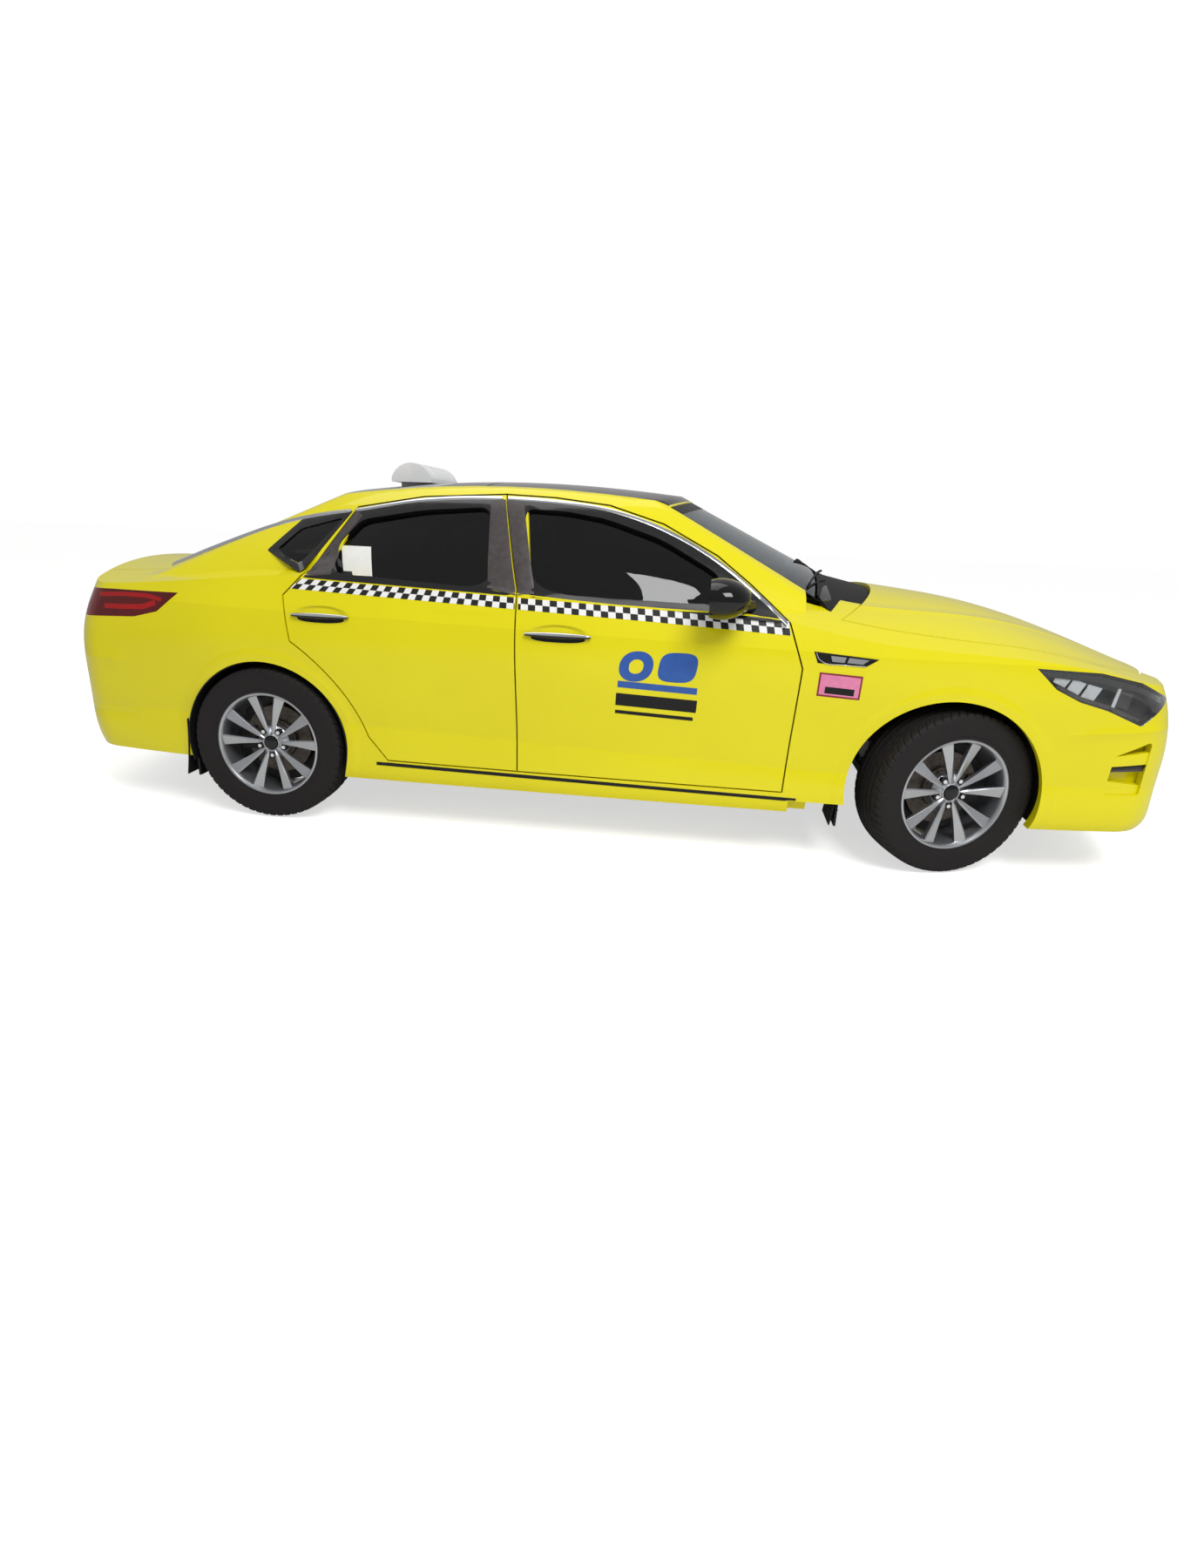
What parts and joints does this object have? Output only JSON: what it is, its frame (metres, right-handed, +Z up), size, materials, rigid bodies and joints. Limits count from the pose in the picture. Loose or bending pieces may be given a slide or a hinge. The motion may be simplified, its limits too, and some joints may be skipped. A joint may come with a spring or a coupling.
{
  "type": "saloon car",
  "caption": "Saloon car used as a taxi cab, with opening doors, bonnet, boot lid and fuel flap, steered front wheels, rolling wheels and a roof sign.",
  "frame": {"origin": "on the road, under the middle of the car's length and width", "axes": "+X to the front of the car, +Y to its left, +Z up"},
  "size_m": [4.856, 2.2284, 1.53],
  "materials": {
    "body_paint": "gloss",
    "roof_glass": "gloss",
    "clear_glass": "gloss",
    "tinted_glass": "gloss",
    "lamp_lens": "gloss",
    "tail_lens": "gloss",
    "black_plastic": "matte",
    "radiator_metal": "satin",
    "floor_coating": "matte",
    "engine_metal": "satin",
    "chassis_steel": "satin",
    "exhaust_steel": "satin",
    "cabin_plastic": "matte",
    "seat_cloth": "matte",
    "sign_plastic": "gloss",
    "tyre_rubber": "matte",
    "alloy": "satin",
    "handle_chrome": "gloss",
    "gloss_black": "gloss"
  },
  "bodies": {
    "body": {"body_side_right": "body_paint", "body_side_left": "body_paint", "underbody": "floor_coating", "roof_panel": "body_paint", "roof_glass": "roof_glass", "windscreen": "clear_glass", "rear_window": "clear_glass", "quarter_windows": "tinted_glass", "front_wings": "body_paint", "front_bumper": "body_paint", "rear_bumper": "body_paint", "radiator_grille": "black_plastic", "radiator": "radiator_metal", "headlamps": "lamp_lens", "tail_lamps": "tail_lens", "cowl_panel": "black_plastic", "rear_shelf": "cabin_plastic", "engine_block": "engine_metal", "front_suspension": "chassis_steel", "rear_suspension": "chassis_steel", "exhaust": "exhaust_steel", "arch_liners": "black_plastic", "dashboard": "cabin_plastic", "front_seats": "seat_cloth", "rear_seat": "seat_cloth", "taxi_sign": "sign_plastic"},
    "bonnet": {"bonnet": "body_paint"},
    "boot_lid": {"boot_lid": "body_paint", "lid_lamps": "tail_lens"},
    "fuel_flap": {"fuel_flap": "body_paint"},
    "steering_rack": {"steering_rack": "chassis_steel"},
    "steering_wheel": {"steering_wheel": "cabin_plastic"},
    "front_door_right": {"front_door_right": "body_paint", "front_door_glass_right": "tinted_glass", "front_door_handle_right": "handle_chrome", "door_mirror_right": "gloss_black"},
    "rear_door_right": {"rear_door_right": "body_paint", "rear_door_glass_right": "tinted_glass", "rear_door_handle_right": "handle_chrome"},
    "knuckle_right": {"knuckle_right": "chassis_steel"},
    "front_wheel_right": {"front_tyre_right": "tyre_rubber", "front_rim_right": "alloy"},
    "rear_wheel_right": {"rear_tyre_right": "tyre_rubber", "rear_rim_right": "alloy"},
    "front_door_left": {"front_door_left": "body_paint", "front_door_glass_left": "tinted_glass", "front_door_handle_left": "handle_chrome", "door_mirror_left": "gloss_black"},
    "rear_door_left": {"rear_door_left": "body_paint", "rear_door_glass_left": "tinted_glass", "rear_door_handle_left": "handle_chrome"},
    "knuckle_left": {"knuckle_left": "chassis_steel"},
    "front_wheel_left": {"front_tyre_left": "tyre_rubber", "front_rim_left": "alloy"},
    "rear_wheel_left": {"rear_tyre_left": "tyre_rubber", "rear_rim_left": "alloy"}
  },
  "joints": [
    {"name": "front_door_right_hinge", "type": "hinge", "parent": "body", "child": "front_door_right", "pos_m": [0.829, -0.918, 0.6], "axis": [0, 0, 1], "range_deg": [0, 68]},
    {"name": "rear_door_right_hinge", "type": "hinge", "parent": "body", "child": "rear_door_right", "pos_m": [-0.285, -0.92, 0.6], "axis": [0, 0, 1], "range_deg": [0, 66]},
    {"name": "front_door_left_hinge", "type": "hinge", "parent": "body", "child": "front_door_left", "pos_m": [0.829, 0.918, 0.6], "axis": [0, 0, -1], "range_deg": [0, 68]},
    {"name": "rear_door_left_hinge", "type": "hinge", "parent": "body", "child": "rear_door_left", "pos_m": [-0.285, 0.92, 0.6], "axis": [0, 0, -1], "range_deg": [0, 66]},
    {"name": "bonnet_hinge", "type": "hinge", "parent": "body", "child": "bonnet", "pos_m": [1.018, 0, 1.06], "axis": [0, -1, 0], "range_deg": [0, 55]},
    {"name": "boot_hinge", "type": "hinge", "parent": "body", "child": "boot_lid", "pos_m": [-1.75, 0, 1.085], "axis": [0, 1, 0], "range_deg": [0, 75]},
    {"name": "fuel_flap_hinge", "type": "hinge", "parent": "body", "child": "fuel_flap", "pos_m": [-1.497, 0.908, 0.822], "axis": [0, 0, -1], "range_deg": [0, 85]},
    {"name": "steer_right", "type": "hinge", "parent": "body", "child": "knuckle_right", "pos_m": [1.4625, -0.745, 0.21345], "axis": [0, 0.2317, 0.9728], "range_deg": [-53, 19]},
    {"name": "front_wheel_right_spin", "type": "hinge", "parent": "knuckle_right", "child": "front_wheel_right", "pos_m": [1.48726, -0.7994, 0.33459], "axis": [-0.2844, 0.9587, 0.0099], "continuous": true},
    {"name": "rear_wheel_right_spin", "type": "hinge", "parent": "body", "child": "rear_wheel_right", "pos_m": [-1.3425, -0.803, 0.334], "axis": [0, 1, 0], "continuous": true},
    {"name": "steer_left", "type": "hinge", "parent": "body", "child": "knuckle_left", "pos_m": [1.4625, 0.745, 0.21345], "axis": [0, -0.2317, 0.9728], "range_deg": [-53, 19]},
    {"name": "front_wheel_left_spin", "type": "hinge", "parent": "knuckle_left", "child": "front_wheel_left", "pos_m": [1.43774, 0.7994, 0.33459], "axis": [-0.2844, 0.9587, -0.0099], "continuous": true},
    {"name": "rear_wheel_left_spin", "type": "hinge", "parent": "body", "child": "rear_wheel_left", "pos_m": [-1.3425, 0.803, 0.334], "axis": [0, 1, 0], "continuous": true},
    {"name": "rack_slide", "type": "slide", "parent": "body", "child": "steering_rack", "axis": [0, 1, 0], "range_m": [-0.045, 0.11]},
    {"name": "steering_wheel_turn", "type": "hinge", "parent": "body", "child": "steering_wheel", "pos_m": [0.402, 0.37, 0.905], "axis": [-0.9135, 0, 0.4067], "range_deg": [-750, 275]}
  ],
  "couplings": [
    {"joint": "steer_left", "follows": "steer_right", "ratio": 1},
    {"joint": "rack_slide", "follows": "steer_right", "m_per_rad": -0.112},
    {"joint": "steering_wheel_turn", "follows": "steer_right", "ratio": 14}
  ]
}
